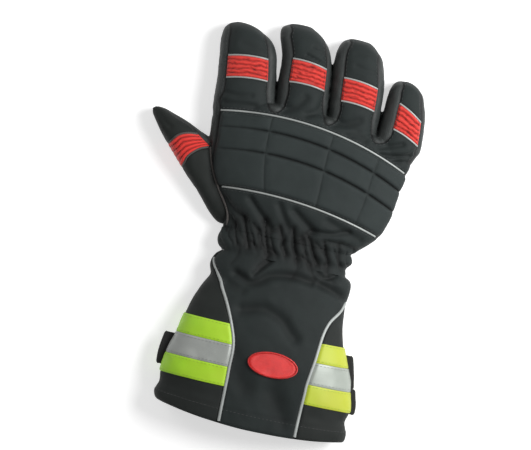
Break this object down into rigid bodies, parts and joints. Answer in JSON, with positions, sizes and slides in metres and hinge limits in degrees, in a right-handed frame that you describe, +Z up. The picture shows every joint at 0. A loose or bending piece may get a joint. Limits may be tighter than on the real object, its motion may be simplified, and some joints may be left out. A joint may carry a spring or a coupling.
{
  "type": "firefighter glove",
  "caption": "Right-hand firefighter glove with leather palm and finger side walls, quilted knuckle pad, ribbed elastic inserts, gathered wrist and flared taped gauntlet.",
  "frame": {"origin": "centre of the palm, on the surface that the glove lies on", "axes": "+Y to the fingertips, +X to the little finger, +Z up out of the back of the hand"},
  "size_m": [0.2028, 0.3065, 0.0437],
  "materials": {
    "leather": "fine-grained dark grey glove leather",
    "shell_fabric": "woven near-black aramid shell fabric",
    "pad_fabric": "woven shell fabric over padding, quilted",
    "red_elastic": "shirred red stretch fabric",
    "reflective_piping": "grey retroreflective piping",
    "dull_piping": "dull grey-brown piping",
    "hi_vis_tape": "fluorescent yellow-green tape",
    "silver_tape": "silver retroreflective tape",
    "webbing": "black woven tab",
    "red_embroidery": "satin-stitched red thread"
  },
  "bodies": {
    "root": {"palm": "leather", "sidewall_index_outer": "leather", "sidewall_index_middle": "leather", "sidewall_middle_ring": "leather", "sidewall_ring_little": "leather", "sidewall_little_outer": "leather", "tip_index": "shell_fabric", "tip_middle": "shell_fabric", "tip_ring": "shell_fabric", "tip_little": "shell_fabric", "tip_thumb": "shell_fabric", "elastic_index": "red_elastic", "elastic_middle": "red_elastic", "elastic_ring": "red_elastic", "elastic_little": "red_elastic", "elastic_thumb": "red_elastic", "knuckle_yoke": "shell_fabric", "knuckle_pad": "pad_fabric", "hand_back": "shell_fabric", "thumb_base": "shell_fabric", "wrist_gather": "shell_fabric", "cuff_back": "shell_fabric", "cuff_side": "shell_fabric", "tape_yellow_upper": "hi_vis_tape", "tape_silver": "silver_tape", "tape_yellow_lower": "hi_vis_tape", "piping_index_lower": "reflective_piping", "piping_index_upper": "reflective_piping", "piping_middle_lower": "reflective_piping", "piping_middle_upper": "reflective_piping", "piping_ring_lower": "reflective_piping", "piping_ring_upper": "reflective_piping", "piping_little_lower": "reflective_piping", "piping_little_upper": "reflective_piping", "piping_knuckle_upper": "reflective_piping", "piping_knuckle_lower": "reflective_piping", "piping_cuff_left": "reflective_piping", "piping_cuff_right": "reflective_piping", "piping_thumb_upper": "dull_piping", "piping_thumb_lower": "dull_piping", "piping_thumb_seam": "dull_piping", "side_tab": "webbing", "edge_tab_upper": "webbing", "edge_tab_lower": "webbing", "cuff_patch": "red_embroidery"}
  },
  "joints": []
}
